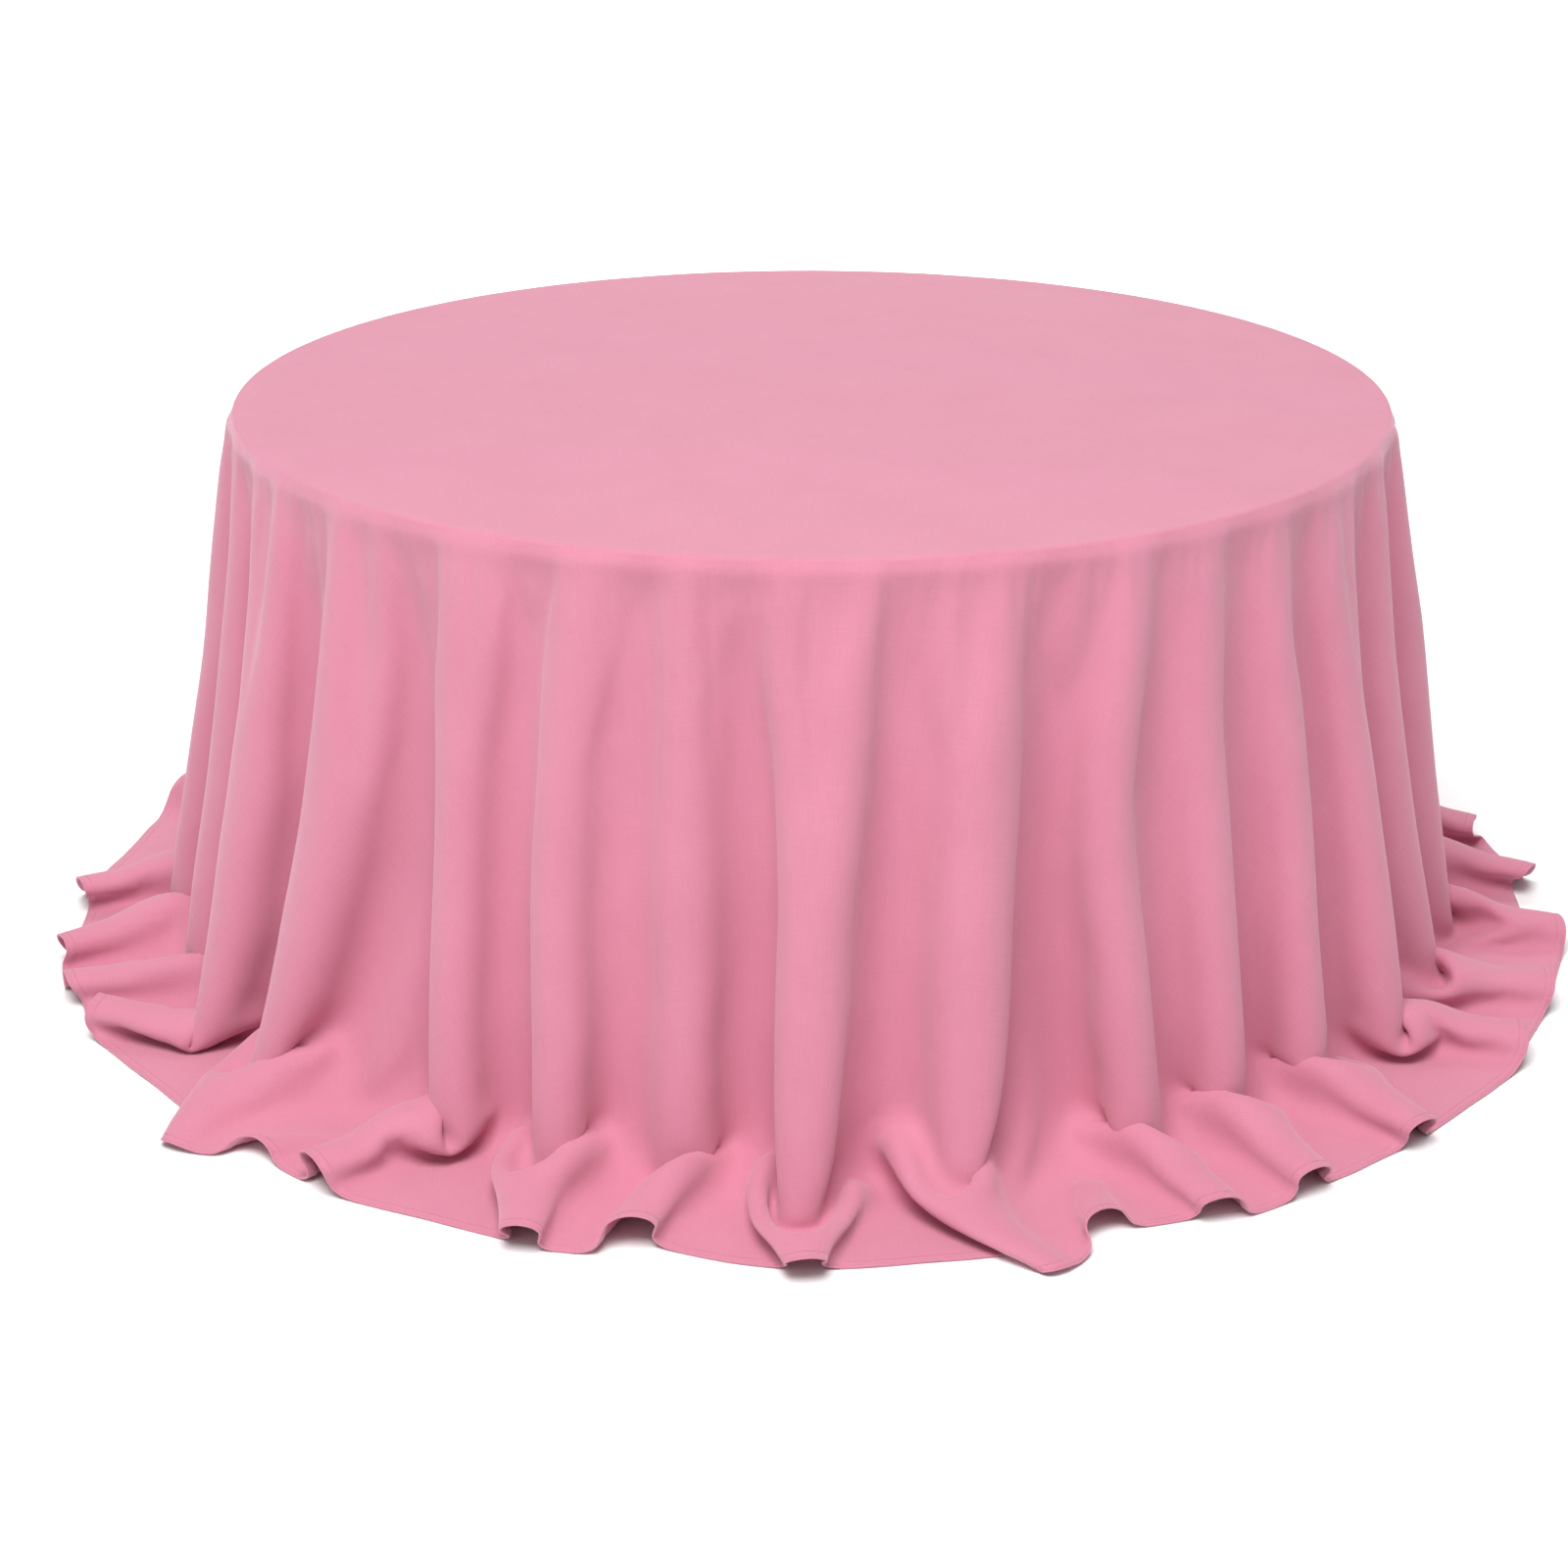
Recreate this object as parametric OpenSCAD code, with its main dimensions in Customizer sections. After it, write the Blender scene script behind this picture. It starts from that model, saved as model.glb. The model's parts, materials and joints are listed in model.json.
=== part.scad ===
// Round tablecloth draped over a round folding table, with its edge pooling on the floor.
// Origin: on the floor, on the axis of the table top. +Z is up, and the two leg sets stand at -X and +X.

/* [Tablecloth] */
// Diameter of the cloth laid flat
cloth_d = 3353; // [3100:1:3600]
// Thickness of the cloth solid
cloth_t = 1; // [0.6:0.1:2]
// How far the skirt leans outwards between the table edge and the floor
skirt_flare = 77; // [40:1:110]
// Furthest that the wavy hem lies past the place where a smooth skirt would end
hem_reach = 38; // [20:1:60]
// Width of the folded hem
hem_w = 14; // [8:1:25]
// Thickness of the folded hem, two layers of cloth
hem_t = 2; // [1.2:0.1:4]
// Distance of the stitching from the inner edge of the hem
stitch_inset = 2; // [1:0.5:4]
// Width of the sewing thread
thread_w = 0.6; // [0.4:0.1:1]
// Radius of the bend where the skirt meets the floor
floor_bend = 38; // [15:1:45]
// Gap between the edge band and the cloth around it
cloth_gap = 0.5; // [0.3:0.1:3]

/* [Table top] */
// Diameter of the table over its edge band
table_d = 1524; // [1400:1:1850]
// Height of the table surface above the floor
table_h = 737; // [660:1:800]
// Thickness of the plywood core
ply_t = 18; // [15:1:25]
// Thickness of the laminate sheet on the core
laminate_t = 1; // [0.8:0.1:2]
// Radial thickness of the edge band
band_t = 4; // [3:0.5:6]
// Rounding of the edge band's outer edges, which the cloth bends over
edge_round = 3; // [1:0.5:3]
// Depth of the edge band's barb in the core
barb_depth = 12; // [8:1:18]
// Thickness of the barb
barb_t = 2.4; // [1.6:0.2:4]

/* [Rails] */
// Thickness of the hardwood rails under the top
rail_t = 22; // [18:1:30]
// Width of the two cross rails that carry the leg sets
cross_rail_w = 70; // [60:1:90]
// Length of a cross rail past the leg set's brackets
rail_end = 70; // [50:1:90]
// Width of the two long rails that join them
long_rail_w = 45; // [30:1:60]
// Thickness of the board that carries the brace anchors
brace_board_t = 10; // [8:1:14]
// Width of the brace board
brace_board_w = 120; // [100:1:160]

/* [Leg sets] */
// Distance from the table's edge to each leg set's pivot
leg_inset = 312; // [290:1:330]
// Drop from the cross rail to the pivot's axis
pivot_drop = 28; // [26:1:34]
// Half the spacing of the two legs in a set
leg_half_spacing = 320; // [260:1:400]
// Sideways shift of each leg set, so that the folded sets lie beside each other
leg_shift = 20; // [18:1:26]
// Outward lean of the open legs, in degrees
leg_splay = 2.5; // [1:0.5:5]
// Outer diameter of the leg tubes
leg_d = 28.6; // [24:0.1:36]
// Outer diameter of the pivot tubes
pivot_d = 31.8; // [28:0.1:39]
// Outer diameter of the stretcher tubes
stretcher_d = 22.2; // [18:0.1:24]
// Wall of every tube
tube_wall = 1.5; // [1.2:0.1:2.5]
// Distance from the pivot to the stretcher along the leg
stretcher_drop = 180; // [150:1:200]
// Running clearance of every round pivot, on the radius
pivot_clearance = 0.1; // [0.05:0.01:0.2]
// Wall of the plastic glide around the leg
glide_wall = 3.7; // [3:0.1:6]
// Height of the glide
glide_h = 38; // [30:1:50]
// Plastic under the end of the leg tube
glide_floor = 8; // [6:1:12]

/* [Brackets] */
// Thickness of the steel plate of the brackets and ears
plate_t = 3; // [2:0.5:5]
// Steel around the pivot tube in a bracket
bracket_wall = 8; // [6:0.5:12]
// Side play between a leg and its bracket
bracket_gap = 2; // [1:0.5:4]
// Length of a bracket's base along the rail
bracket_base_l = 44; // [36:1:60]
// Length of the pivot tube that stands out of a bracket
tube_end = 12; // [6:1:30]

/* [Braces] */
// Distance from the leg pivot to the brace anchor, towards the middle of the table
anchor_offset = 300; // [270:1:330]
// Height of the brace pins above the leg pivot when folded
brace_offset = 22; // [21:0.5:24]
// Height of the brace bars
bar_h = 16; // [12:0.5:20]
// Thickness of the brace bars
bar_t = 4; // [3:0.5:5]
// Gap between the two brace bars
bar_gap = 0.4; // [0.2:0.1:1]
// Diameter of the brace pins
pin_d = 8; // [6:0.5:10]
// Steel around a pin in an ear
ear_wall = 5; // [4:0.5:8]
// Clear space between a bar and the ears beside it
ear_clearance = 0.8; // [0.5:0.1:2]
// Distance of the lock ring from the middle rivet
ring_start = 132; // [130:1:140]
// Length of the lock ring
ring_l = 30; // [20:1:32]
// Wall of the lock ring
ring_wall = 3; // [2:0.5:4]
// Clearance between the lock ring and the two bars
ring_clearance = 1; // [0.5:0.1:2]

/* [Hidden] */
$fn = 96;

cloth_colour = "palevioletred";
wood_colour = "burlywood";
rail_colour = "peru";
band_colour = "dimgray";
steel_colour = "silver";
dark_steel_colour = "slategray";
plastic_colour = "black";

// Heights of the top's layers, and the places of the leg sets
table_r = table_d / 2;
core_r = table_r - band_t;
core_top_z = table_h - laminate_t;
core_bottom_z = core_top_z - ply_t;
rail_bottom_z = core_bottom_z - rail_t;
board_bottom_z = core_bottom_z - brace_board_t;
pivot_z = rail_bottom_z - pivot_drop;
pivot_x = table_r - leg_inset;
leg_l = pivot_z / cos(leg_splay);
bracket_y = leg_half_spacing + leg_d / 2 + bracket_gap + plate_t / 2;
bracket_w = pivot_d + 2 * bracket_wall;
bracket_base_w = bracket_w + 12;
cross_rail_l = 2 * (bracket_y + leg_shift + bracket_base_l / 2 + rail_end);
long_rail_l = 2 * pivot_x - cross_rail_w;
long_rail_y = cross_rail_l / 2 - long_rail_w / 2 - 10;

// Wood screws with pan heads
screw_d = 4;
screw_head_d = 8.5;
screw_head_t = 2.4;
screw_bite = 12; // depth of a rail screw in the plywood
short_screw_bite = 8; // depth of an anchor screw in the brace board
screw_edge = 10; // distance of a bracket's screws from its edges
rail_screw_end = 30; // distance of the last rail screws from the rail's end
long_rail_screws = 5;

// Braces
ear_r = pin_d / 2 + ear_wall;
ear_inner_y = bar_gap / 2 + bar_t + ear_clearance;
anchor_base = [56, 2 * (ear_inner_y + plate_t) + 30];
brace_board_l = 2 * (pivot_x - anchor_offset) + anchor_base[0] + 44;
bar_y = (bar_t + bar_gap) / 2;
pin_head_d = pin_d + 5;
pin_head_t = 2;
detent_d = 6;
detent_proud = 1.8; // the ring snaps past it, because this is a little more than the ring's clearance

// ---------------------------------------------------------------- tablecloth

// Points of an arc, as [radius, height] pairs
function arc(centre, r, from, to, steps) = [
    for (i = [0:steps]) let (a = from + (to - from) * i / steps) centre + r * [cos(a), sin(a)]
];

cloth_top_z = table_h + cloth_t;
cloth_rim_r = table_r + cloth_gap + cloth_t;
rim_bend = edge_round + cloth_t;
flare_angle = atan2(skirt_flare, table_h);
rim_centre = [cloth_rim_r - rim_bend, cloth_top_z - rim_bend];
skirt_normal = [cos(flare_angle), sin(flare_angle)];
skirt_along = [sin(flare_angle), -cos(flare_angle)];
skirt_start = rim_centre + rim_bend * skirt_normal;
skirt_l = (skirt_start[1] + floor_bend * sin(flare_angle) - cloth_t - floor_bend) / cos(flare_angle);
floor_centre = skirt_start + skirt_l * skirt_along + floor_bend * skirt_normal;

// What the drop doesn't use of the cloth's radius lies on the floor
pool_w = cloth_d / 2 - table_r - norm([table_h, skirt_flare]);
hem_radius = table_r + skirt_flare + pool_w + hem_reach;
cloth_edge_r = hem_radius - hem_w;

// The cloth's section from its middle to its edge; depth is how far it lies under the outer side
function cloth_side(depth) = concat(
    [[0, cloth_top_z - depth]],
    arc(rim_centre, rim_bend - depth, 90, flare_angle, 6),
    arc(floor_centre, floor_bend + depth, 180 + flare_angle, 270, 6),
    [[cloth_edge_r, cloth_t - depth]]
);

module tablecloth() {
    inner = cloth_side(cloth_t);
    color(cloth_colour) rotate_extrude($fn = 180)
        polygon(concat(cloth_side(0), [for (i = [len(inner) - 1:-1:0]) inner[i]]));
}

// A flat ring, such as the hem
module ring(r, w, t, z) {
    rotate_extrude($fn = 180) translate([r, z]) square([w, t]);
}

module hem() {
    color(cloth_colour) ring(cloth_edge_r, hem_w, hem_t, 0);
}

module hem_stitching() {
    color(cloth_colour) ring(cloth_edge_r + stitch_inset, thread_w, thread_w / 2, hem_t);
}

// ---------------------------------------------------------------- table top

// The edge band's barb, which fills the groove in the core
module barb() {
    ring(core_r - barb_depth, barb_depth, barb_t, core_bottom_z + (ply_t - barb_t) / 2);
}

module table_top() {
    color(wood_colour) difference() {
        translate([0, 0, core_bottom_z]) cylinder(r = core_r, h = ply_t, $fn = 180);
        barb();
        rail_screws_at(head = false);
    }
}

module top_laminate() {
    color("ivory") translate([0, 0, core_top_z]) cylinder(r = core_r, h = laminate_t, $fn = 180);
}

// T-shaped plastic band with rounded outer edges
module edge_band() {
    round_x = table_r - edge_round;
    color(band_colour) {
        rotate_extrude($fn = 180) polygon(concat(
            [[core_r, core_bottom_z]],
            arc([round_x, core_bottom_z + edge_round], edge_round, -90, 0, 4),
            arc([round_x, table_h - edge_round], edge_round, 0, 90, 4),
            [[core_r, table_h]]
        ));
        barb();
    }
}

// ---------------------------------------------------------------- screws

// A screw that points up; without its head it is the hole that it fills
module screw(depth, head) {
    cylinder(d = screw_d, h = depth, $fn = 24);
    if (head) translate([0, 0, -screw_head_t]) cylinder(d = screw_head_d, h = screw_head_t, $fn = 24);
}

// What the left half has, and the same turned half round for the right half
module both_sides() {
    children();
    rotate([0, 0, 180]) children();
}

module rail_screws_at(head) {
    outer = cross_rail_l / 2 - rail_screw_end;
    inner = bracket_y - leg_shift - bracket_base_l / 2 - rail_screw_end;
    for (y = [-outer, -inner, -inner / 3, inner / 3, inner, outer]) both_sides()
        translate([-pivot_x + cross_rail_w / 4, y, rail_bottom_z]) screw(rail_t + screw_bite, head);
    pitch = (long_rail_l - 2 * rail_screw_end) / (long_rail_screws - 1);
    for (i = [0:long_rail_screws - 1]) both_sides()
        translate([-long_rail_l / 2 + rail_screw_end + i * pitch, long_rail_y, rail_bottom_z])
            screw(rail_t + screw_bite, head);
    for (i = [-1, 1]) both_sides()
        translate([i * (brace_board_l / 2 - 14), brace_board_w / 2 - 14, board_bottom_z])
            screw(brace_board_t + screw_bite, head);
}

module rail_screws() {
    color(dark_steel_colour) rail_screws_at(head = true);
}

// Four screws in the corners of a bracket's base of this size
module corner_screws(size, depth, head) {
    for (dx = [-1, 1]) for (dy = [-1, 1])
        translate([dx * (size[0] / 2 - screw_edge), dy * (size[1] / 2 - screw_edge), 0]) screw(depth, head);
}

module bracket_screws_at(head) {
    both_sides() for (side = [-1, 1])
        translate([-pivot_x, leg_shift + side * bracket_y, rail_bottom_z - plate_t])
            corner_screws([bracket_base_w, bracket_base_l], plate_t + screw_bite, head);
}

module anchor_screws_at(head) {
    both_sides() translate([-pivot_x + anchor_offset, 0, board_bottom_z - plate_t])
        corner_screws(anchor_base, short_screw_bite, head);
}

module bracket_screws() {
    color(dark_steel_colour) {
        bracket_screws_at(head = true);
        anchor_screws_at(head = true);
    }
}

// ---------------------------------------------------------------- rails

module cross_rail() {
    color(rail_colour) difference() {
        translate([-pivot_x - cross_rail_w / 2, -cross_rail_l / 2, rail_bottom_z])
            cube([cross_rail_w, cross_rail_l, rail_t]);
        rail_screws_at(head = false);
        bracket_screws_at(head = false);
    }
}

module long_rail() {
    color(rail_colour) difference() {
        translate([-long_rail_l / 2, -long_rail_y - long_rail_w / 2, rail_bottom_z])
            cube([long_rail_l, long_rail_w, rail_t]);
        rail_screws_at(head = false);
    }
}

module brace_board() {
    color(wood_colour) difference() {
        translate([-brace_board_l / 2, -brace_board_w / 2, board_bottom_z])
            cube([brace_board_l, brace_board_w, brace_board_t]);
        rail_screws_at(head = false);
        anchor_screws_at(head = false);
    }
}

// ---------------------------------------------------------------- brackets

// A cylinder along Y, with its middle at this height and distance from the axis
module along_y(p, d, l, y = 0) {
    translate([p[0], y, p[1]]) rotate([90, 0, 0]) cylinder(d = d, h = l, center = true);
}

module pivot_bracket(side) {
    y = leg_shift + side * bracket_y;
    pivot = [-pivot_x, pivot_z];
    color(steel_colour) difference() {
        union() {
            translate([-pivot_x - bracket_base_w / 2, y - bracket_base_l / 2, rail_bottom_z - plate_t])
                cube([bracket_base_w, bracket_base_l, plate_t]);
            translate([-pivot_x - bracket_w / 2, y - plate_t / 2, pivot_z])
                cube([bracket_w, plate_t, rail_bottom_z - plate_t - pivot_z]);
            along_y(pivot, bracket_w, plate_t, y);
        }
        along_y(pivot, pivot_d + 2 * pivot_clearance, 3 * plate_t, y);
        bracket_screws_at(head = false);
    }
}

anchor_pin_at = [-pivot_x + anchor_offset, pivot_z + brace_offset];

// Two ears hang from a plate and hold the pin of the upper brace
module brace_anchor() {
    color(steel_colour) difference() {
        union() {
            translate([anchor_pin_at[0] - anchor_base[0] / 2, -anchor_base[1] / 2, board_bottom_z - plate_t])
                cube([anchor_base[0], anchor_base[1], plate_t]);
            for (y = [-ear_inner_y - plate_t, ear_inner_y]) {
                translate([anchor_pin_at[0] - ear_r, y, anchor_pin_at[1]])
                    cube([2 * ear_r, plate_t, board_bottom_z - plate_t - anchor_pin_at[1]]);
                along_y(anchor_pin_at, 2 * ear_r, plate_t, y + plate_t / 2);
            }
        }
        along_y(anchor_pin_at, pin_d, 3 * ear_r);
        anchor_screws_at(head = false);
    }
}

module anchor_pin() {
    color(dark_steel_colour) {
        along_y(anchor_pin_at, pin_d, 2 * (ear_inner_y + plate_t));
        for (side = [-1, 1])
            along_y(anchor_pin_at, pin_head_d, pin_head_t, side * (ear_inner_y + plate_t + pin_head_t / 2));
    }
}

// ---------------------------------------------------------------- leg set

// Puts what is made with its pivot at the origin and its legs along -Z where the left set stands
module in_leg_set() {
    translate([-pivot_x, leg_shift, pivot_z]) rotate([0, leg_splay, 0]) children();
}

module tube_y(p, d, l) {
    difference() {
        along_y(p, d, l);
        along_y(p, d - 2 * tube_wall, l + 2);
    }
}

module pivot_tube() {
    color(steel_colour) in_leg_set() tube_y([0, 0], pivot_d, 2 * (bracket_y + plate_t / 2 + tube_end));
}

// A leg tube: its top is cut to sit on the pivot tube, and its end stands in the glide
module leg(side) {
    color(steel_colour) in_leg_set() translate([0, side * leg_half_spacing, 0]) difference() {
        translate([0, 0, glide_floor - leg_l]) cylinder(d = leg_d, h = leg_l - glide_floor);
        translate([0, 0, -leg_l]) cylinder(d = leg_d - 2 * tube_wall, h = leg_l + 1);
        along_y([0, 0], pivot_d, 2 * leg_d);
    }
}

// The tube across a leg set, its ends cut to sit on the two legs
module stretcher() {
    color(steel_colour) in_leg_set() difference() {
        tube_y([0, -stretcher_drop], stretcher_d, 2 * leg_half_spacing);
        for (side = [-1, 1]) translate([0, side * leg_half_spacing, -stretcher_drop])
            cylinder(d = leg_d, h = 2 * leg_d, center = true);
    }
}

// A plastic cup on the end of a leg, cut level with the floor
module glide(side) {
    glide_d = leg_d + 2 * glide_wall;
    color(plastic_colour) difference() {
        in_leg_set() translate([0, side * leg_half_spacing, -leg_l]) difference() {
            translate([0, 0, -glide_d / 2]) cylinder(d = glide_d, h = glide_h + glide_d / 2);
            translate([0, 0, glide_floor]) cylinder(d = leg_d, h = glide_h);
        }
        translate([-table_r, -table_r, -2 * glide_d]) cube([table_r, table_d, 2 * glide_d]);
    }
}

// ---------------------------------------------------------------- braces

// A brace is two bars in line when open, which lie flat side by side when the legs are folded.
// Its points are [distance from the leg pivot towards the table's middle, height above the pivot].
function turned(p, angle) = [p[0] * cos(angle) - p[1] * sin(angle), p[0] * sin(angle) + p[1] * cos(angle)];

anchor_point = [anchor_offset, brace_offset];
ear_point = [brace_offset, -stretcher_drop];
ear_open = turned(ear_point, -leg_splay);
ear_folded = turned(ear_point, 90);
open_span = norm(anchor_point - ear_open);
folded_span = norm(anchor_point - ear_folded);
upper_l = (open_span + folded_span) / 2;
lower_l = (open_span - folded_span) / 2;
brace_angle = atan2(anchor_point[1] - ear_open[1], anchor_point[0] - ear_open[0]);
rivet_point = anchor_point - upper_l * [cos(brace_angle), sin(brace_angle)];

// Puts what is made along +X where the open brace runs up from this point
module along_brace(p) {
    translate([-pivot_x + p[0], 0, pivot_z + p[1]]) rotate([0, -brace_angle, 0]) children();
}

// One steel ear, welded on the stretcher beside the lower bar
module brace_ear() {
    color(steel_colour) in_leg_set() translate([0, -leg_shift, 0]) difference() {
        union() {
            translate([0, ear_inner_y, -stretcher_drop - ear_r]) cube([brace_offset, plate_t, 2 * ear_r]);
            along_y(ear_point, 2 * ear_r, plate_t, ear_inner_y + plate_t / 2);
        }
        along_y([0, -stretcher_drop], stretcher_d, 3 * ear_r);
        along_y(ear_point, pin_d, 3 * ear_r);
    }
}

// Holds the lower bar on the ear; flush on the bar's inner side, so that the upper bar can pass
module ear_rivet() {
    shank_l = bar_t + ear_clearance + plate_t;
    color(dark_steel_colour) in_leg_set() translate([0, -leg_shift, 0]) {
        along_y(ear_point, pin_d, shank_l, bar_gap / 2 + shank_l / 2);
        along_y(ear_point, pin_head_d, pin_head_t, bar_gap / 2 + shank_l + pin_head_t / 2);
    }
}

// A flat bar with round ends and a hole at each end
module brace_bar(l, y) {
    difference() {
        union() {
            translate([0, y - bar_t / 2, -bar_h / 2]) cube([l, bar_t, bar_h]);
            for (x = [0, l]) along_y([x, 0], bar_h, bar_t, y);
        }
        for (x = [0, l]) along_y([x, 0], pin_d + 2 * pivot_clearance, 3 * bar_t, y);
    }
}

module upper_brace() {
    color(steel_colour) difference() {
        along_brace(rivet_point) brace_bar(upper_l, -bar_y);
        detent_shape();
    }
}

module lower_brace() {
    color(steel_colour) along_brace(ear_open) brace_bar(lower_l, bar_y);
}

// Fills the upper bar's lower hole, with its head on the bar's outer face
module middle_rivet() {
    color(dark_steel_colour) along_brace(rivet_point) {
        along_y([0, 0], pin_d + 2 * pivot_clearance, bar_t, -bar_y);
        along_y([0, 0], pin_head_d, pin_head_t, -bar_y - (bar_t + pin_head_t) / 2);
    }
}

// A stud through the upper bar, on which the parked ring rests
module detent_shape() {
    along_brace(rivet_point)
        along_y([ring_start - detent_d / 2, 0], detent_d, bar_t + detent_proud, -bar_y - detent_proud / 2);
}

module ring_detent() {
    color(dark_steel_colour) detent_shape();
}

// A square sleeve on the upper bar, wide enough to slide over both bars
module lock_ring() {
    inner_h = bar_h + 2 * ring_clearance;
    inner_w = 2 * (bar_gap / 2 + bar_t + ring_clearance);
    outer = [ring_l, inner_w + 2 * ring_wall, inner_h + 2 * ring_wall];
    color(steel_colour) along_brace(rivet_point) translate([ring_start + ring_l / 2, 0, 0]) difference() {
        cube(outer, center = true);
        cube([ring_l + 2, inner_w, inner_h], center = true);
    }
}

// ---------------------------------------------------------------- assembly

// The right half is the left one turned half round
module right() {
    rotate([0, 0, 180]) children();
}

tablecloth();
hem();
hem_stitching();
table_top();
top_laminate();
edge_band();
cross_rail();  // left_cross_rail
right() cross_rail();  // right_cross_rail
long_rail();  // front_long_rail
right() long_rail();  // back_long_rail
brace_board();
pivot_bracket(-1);  // left_front_bracket
pivot_bracket(1);  // left_back_bracket
right() pivot_bracket(1);  // right_front_bracket
right() pivot_bracket(-1);  // right_back_bracket
brace_anchor();  // left_brace_anchor
right() brace_anchor();  // right_brace_anchor
anchor_pin();  // left_anchor_pin
right() anchor_pin();  // right_anchor_pin
rail_screws();
bracket_screws();
pivot_tube();  // left_pivot_tube
leg(-1);  // left_front_leg
leg(1);  // left_back_leg
stretcher();  // left_stretcher
brace_ear();  // left_brace_ear
ear_rivet();  // left_ear_rivet
glide(-1);  // left_front_glide
glide(1);  // left_back_glide
upper_brace();  // left_upper_brace
middle_rivet();  // left_middle_rivet
ring_detent();  // left_ring_detent
lower_brace();  // left_lower_brace
lock_ring();  // left_lock_ring
right() pivot_tube();  // right_pivot_tube
right() leg(1);  // right_front_leg
right() leg(-1);  // right_back_leg
right() stretcher();  // right_stretcher
right() brace_ear();  // right_brace_ear
right() ear_rivet();  // right_ear_rivet
right() glide(1);  // right_front_glide
right() glide(-1);  // right_back_glide
right() upper_brace();  // right_upper_brace
right() middle_rivet();  // right_middle_rivet
right() ring_detent();  // right_ring_detent
right() lower_brace();  // right_lower_brace
right() lock_ring();  // right_lock_ring
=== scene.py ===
# Round pink tablecloth draped over a round folding table.
# The cloth falls in a small mass-and-link simulation on a round grid; hem and stitches follow its edge.
import bpy
import json
import math
import numpy as np
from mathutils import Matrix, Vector


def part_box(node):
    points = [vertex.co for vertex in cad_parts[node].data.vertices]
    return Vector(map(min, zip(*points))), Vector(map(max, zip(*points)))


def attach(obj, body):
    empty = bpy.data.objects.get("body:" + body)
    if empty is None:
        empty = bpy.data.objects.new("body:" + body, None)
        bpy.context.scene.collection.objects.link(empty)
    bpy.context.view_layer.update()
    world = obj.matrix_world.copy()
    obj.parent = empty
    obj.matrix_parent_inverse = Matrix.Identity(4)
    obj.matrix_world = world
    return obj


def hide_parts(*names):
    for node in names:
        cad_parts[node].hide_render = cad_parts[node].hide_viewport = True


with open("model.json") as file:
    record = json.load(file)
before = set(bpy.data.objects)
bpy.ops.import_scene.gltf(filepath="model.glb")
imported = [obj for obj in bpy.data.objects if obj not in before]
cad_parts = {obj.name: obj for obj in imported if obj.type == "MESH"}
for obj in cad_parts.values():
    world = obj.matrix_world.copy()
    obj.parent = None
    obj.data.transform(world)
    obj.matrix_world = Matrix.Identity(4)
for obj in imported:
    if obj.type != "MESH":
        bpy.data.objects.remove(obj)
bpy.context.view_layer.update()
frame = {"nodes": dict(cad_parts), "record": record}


# The cloth: its size, its folds and how it falls.
cloth = {
    "across": 3.353,  # flat cut, edge to edge
    "thickness": 0.0008,
    "clearance": 0.0011,  # from the table to the middle of the cloth
    "bandRounding": 0.003,  # of the table's edge band
    "innerRing": 0.70,  # the cloth lies still inside this radius
    "ringStep": 0.0155,
    "spokes": 576,
    "skirtLean": 6.5,  # degrees the skirt stands out from upright at the start
    "floorBend": 0.06,
    # crests of the folds, degrees from the front, positive to the right
    "frontFolds": [-94, -81, -71, -60, -46, -40, -32, -20, -10, -4,
                   2, 12, 18, 26, 34, 44, 56, 67, 79],
    "backFolds": [93, 106, 119, 132, 146, 160, 173, 187, 201, 214, 228, 241, 254],
    "foldVariety": 0.3,  # share by which one fold is deeper than another
    "deepestFold": 0.25,  # end of the search for the depth that keeps each ring's length
    "unevenness": 0.0005,  # small random heights at the start, so that no two folds fall alike
    "seed": 4,
    "fallSeconds": 1.0,
    "stepsPerSecond": 700,
    "floorLevel": 0.0026,  # middle of the cloth on the floor; the hem's underside goes below it
    "floorGrip": 0.9,
    "edgeGrip": 0.6,
    "edgeZone": 0.03,  # the table's edge is touched only this far down
    "reachSlack": 1.002,  # how much more than its flat distance a point may get from the rim
    "selfSpacing": 0.009,  # kept between grid points of folds that meet
    "selfTouchStart": 0.1,  # past the rim, where folds can first meet
    "selfTouchEvery": 4,  # steps
    "selfTouchShare": 0.5,
    "reportEvery": 200,
    "topSpeed": 2.5,
    "airDrag": 1.5,
    "shearStiffness": 0.12,
    "bendStiffness": 0.06,
    "wideBendStiffness": 0.01,
    "pressZone": (0.86, 0.98),  # radii between which folds on the floor go down to pressed height
    "pressedHeight": 0.55,
}
bandLow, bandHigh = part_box("edge_band")
tableRadius = (bandHigh.x - bandLow.x) / 2 + cloth["clearance"]
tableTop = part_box("top_laminate")[1].z + cloth["clearance"]
edgeRounding = cloth["bandRounding"] + cloth["clearance"]
clothRadius = cloth["across"] / 2
ringCount = int(round((clothRadius - cloth["innerRing"]) / cloth["ringStep"])) + 1
ringRadius = np.linspace(cloth["innerRing"], clothRadius, ringCount)
ringGap = ringRadius[1] - ringRadius[0]
spokeTurn = np.arange(cloth["spokes"]) / cloth["spokes"] * 2 * np.pi
single = np.float32


def circleAt(radius, height):
    # one point a spoke, from the front round by the right
    return np.c_[radius * np.sin(spokeTurn), -radius * np.cos(spokeTurn), spokeTurn * 0 + height]


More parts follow.
